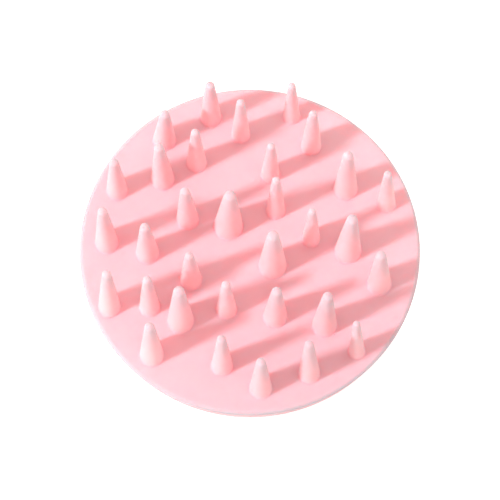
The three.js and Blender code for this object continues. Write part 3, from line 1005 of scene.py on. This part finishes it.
def grip_silicone():
    """Deeper pink silicone with a dry, matte touch and dust-fine grain."""
    shader = Shader("grip_silicone", Subsurface_Weight=0.6, Subsurface_Scale=0.002, IOR=1.41,
                    Specular_IOR_Level=0.3, Sheen_Weight=0.15)
    shader.surface.inputs["Subsurface Radius"].default_value = (1, 0.3, 0.25)
    shader.feed(shader.blend(shader.cloud(6), (0.80, 0.33, 0.38), (0.86, 0.38, 0.43)), "Base Color")
    shader.feed(shader.ramp(shader.cloud(2), 0.3, 0.7, 0.55, 0.7), "Roughness")
    shader.bumps((shader.cloud(0.25, 2), 0.01), (shader.cloud(2), 0.02))
    return shader.material


def shell_plastic():
    """Satin pale pink moulded plastic with the faintest orange peel."""
    shader = Shader("shell_plastic", IOR=1.5, Coat_Weight=0.15, Coat_Roughness=0.25,
                    Subsurface_Weight=0.15, Subsurface_Scale=0.001)
    colour = shader.blend(shader.cloud(20), (0.87, 0.51, 0.56), (0.89, 0.54, 0.59))
    shader.feed(colour, "Base Color")
    shader.feed(shader.ramp(shader.cloud(6, 4), 0.3, 0.7, 0.34, 0.42), "Roughness")
    shader.bumps((shader.cloud(2.5, 1), 0.0015), (shader.cloud(0.4, 2), 0.0008))
    return shader.material


def inner_plastic():
    """Off-white plastic with a spark-eroded texture."""
    shader = Shader("inner_plastic", IOR=1.5, Specular_IOR_Level=0.4)
    shader.feed(shader.blend(shader.cloud(8), (0.84, 0.80, 0.78), (0.89, 0.86, 0.84)), "Base Color")
    shader.feed(shader.ramp(shader.cloud(1.5), 0.3, 0.7, 0.45, 0.6), "Roughness")
    shader.bumps((shader.cloud(0.3, 3), 0.02))
    return shader.material


def screw_steel():
    """Zinc-plated steel with fine turning marks and a little uneven dulling."""
    shader = Shader("screw_steel", Metallic=1, Anisotropic=0.3)
    stretch = shader.node("ShaderNodeMapping")
    stretch.inputs["Scale"].default_value = (0.15, 0.15, 4)
    shader.link(shader.place, stretch.inputs["Vector"])
    marks = shader.cloud(0.5, 4, stretch.outputs["Vector"])
    shader.feed(shader.blend(shader.cloud(1.2), (0.60, 0.62, 0.66), (0.72, 0.73, 0.74)), "Base Color")
    shader.feed(shader.ramp(marks, 0.3, 0.7, 0.22, 0.38), "Roughness")
    shader.bumps((marks, 0.01))
    return shader.material


# ---- Assembly ----

silicone = face_silicone()
grip = grip_silicone()
shell = shell_plastic()
inner = inner_plastic()
steel = screw_steel()

make_piece("silicone_face", *silicone_face(), "face", "face_silicone", silicone, False)
make_piece("inner_plate", *inner_plate(), "handle", "inner_plastic", inner)
make_piece("saucer_cover", *saucer_cover(), "handle", "shell_plastic", shell)
make_piece("waisted_stem", *waisted_stem(), "handle", "shell_plastic", shell)
make_piece("palm_knob", *palm_knob(), "handle", "shell_plastic", shell)
make_piece("ribbed_grip", *ribbed_grip(), "handle", "grip_silicone", grip)
make_piece("rest_cap", *rest_cap(), "handle", "shell_plastic", shell)
for name, (surface, nodes) in all_screws():
    make_piece(name, surface, nodes, "handle", "screw_steel", steel)

# ---- Stage ----

FLOOR_SIZE = 6  # metres
CAMERA_TILT = 73  # degrees above the horizon
CAMERA_DISTANCE = 0.87
CAMERA_LENS = 266.4  # millimetres on a 36 mm sensor
CAMERA_AIM = 0.18  # how far in front of the face's centre the camera points
SUN_TURN = 23.8  # degrees from +X towards +Y that the sunlight travels
SUN_HEIGHT = 45.6
SUN_WIDTH = 6
SUN_POWER = 2.8
SUN_COLOUR = (1, 0.95, 1.0)
LAMP_DISTANCE = 1.2
FLOOR_DROP = 0.02  # millimetres under the cap
SKY_COLOUR = (1.03, 0.94, 0.9)
SKY_LEVELS = ((-0.4, 0.8), (-0.15, 1.0), (0, 1.3), (0.7, 1.0))  # (sine of height, brightness)


def floor():
    """A pale floor just under the cap, bright enough to fade into the backdrop."""
    shader = Shader("pale_floor", Roughness=0.6, Specular_IOR_Level=0.2, Emission_Strength=0.4)
    shader.surface.inputs["Emission Color"].default_value = (1, 1, 1, 1)
    shader.feed(shader.blend(shader.cloud(60), (0.93, 0.93, 0.93), (0.95, 0.95, 0.95)), "Base Color")
    mesh = bpy.data.meshes.new("floor")
    half = FLOOR_SIZE / 2
    low = -FLOOR_DROP * MM
    corners = [(-half, -half, low), (half, -half, low), (half, half, low), (-half, half, low)]
    mesh.from_pydata(corners, [], [(0, 1, 2, 3)])
    mesh.materials.append(shader.material)
    made = bpy.data.objects.new("floor", mesh)
    bpy.context.scene.collection.objects.link(made)
    made.visible_diffuse = False
    return made


def light(name, kind, direction, energy, colour, **settings):
    """A lamp that shines along a direction. A sun's place doesn't change its light."""
    data = bpy.data.lights.new(name, kind)
    data.energy = energy
    data.color = colour
    for key, value in settings.items():
        setattr(data, key, value)
    lamp = bpy.data.objects.new(name, data)
    lamp.rotation_mode = "QUATERNION"
    lamp.rotation_quaternion = direction.to_track_quat("-Z", "Y")
    lamp.location = Vector((0, 0, FACE_TOP * MM)) - direction * LAMP_DISTANCE
    bpy.context.scene.collection.objects.link(lamp)
    return lamp


ground = floor()
turn = radians(SUN_TURN)
rise = radians(SUN_HEIGHT)
sun_way = Vector((cos(turn) * cos(rise), sin(turn) * cos(rise), -sin(rise)))
sun = light("sun", "SUN", sun_way, SUN_POWER, SUN_COLOUR, angle=radians(SUN_WIDTH))
unlit = bpy.data.collections.new("sunlit")  # the sun lights all but the floor
unlit.objects.link(ground)
unlit.collection_objects[0].light_linking.link_state = "EXCLUDE"
sun.light_linking.receiver_collection = unlit


def surroundings():
    """Plain pale surroundings, with less light from below than from above."""
    world = bpy.data.worlds.new("studio")
    world.use_nodes = True
    tree = world.node_tree
    background = tree.nodes["Background"]
    background.inputs["Color"].default_value = (*SKY_COLOUR, 1)
    way = tree.nodes.new("ShaderNodeTexCoord")
    parts = tree.nodes.new("ShaderNodeSeparateXYZ")
    half = tree.nodes.new("ShaderNodeMapRange")
    half.inputs["From Min"].default_value = -1
    levels = tree.nodes.new("ShaderNodeValToRGB")
    stops = levels.color_ramp.elements
    for height, level in SKY_LEVELS[1:-1]:
        stops.new((height + 1) / 2)
    for stop, (height, level) in zip(stops, SKY_LEVELS):
        stop.position = (height + 1) / 2
        stop.color = (level, level, level, 1)
    tree.links.new(way.outputs["Generated"], parts.inputs["Vector"])
    tree.links.new(parts.outputs["Z"], half.inputs["Value"])
    tree.links.new(half.outputs["Result"], levels.inputs["Fac"])
    tree.links.new(levels.outputs["Color"], background.inputs["Strength"])
    bpy.context.scene.world = world


surroundings()

camera_data = bpy.data.cameras.new("camera")
camera_data.lens = CAMERA_LENS
camera = bpy.data.objects.new("camera", camera_data)
bpy.context.scene.collection.objects.link(camera)
tilt = radians(CAMERA_TILT)
back = Vector((0, -cos(tilt), sin(tilt)))
camera.location = Vector((0, -CAMERA_AIM * MM, FACE_TOP * MM)) + back * CAMERA_DISTANCE
camera.rotation_mode = "QUATERNION"
camera.rotation_quaternion = (-back).to_track_quat("-Z", "Y")
bpy.context.scene.camera = camera
bpy.context.scene.view_settings.view_transform = "Standard"
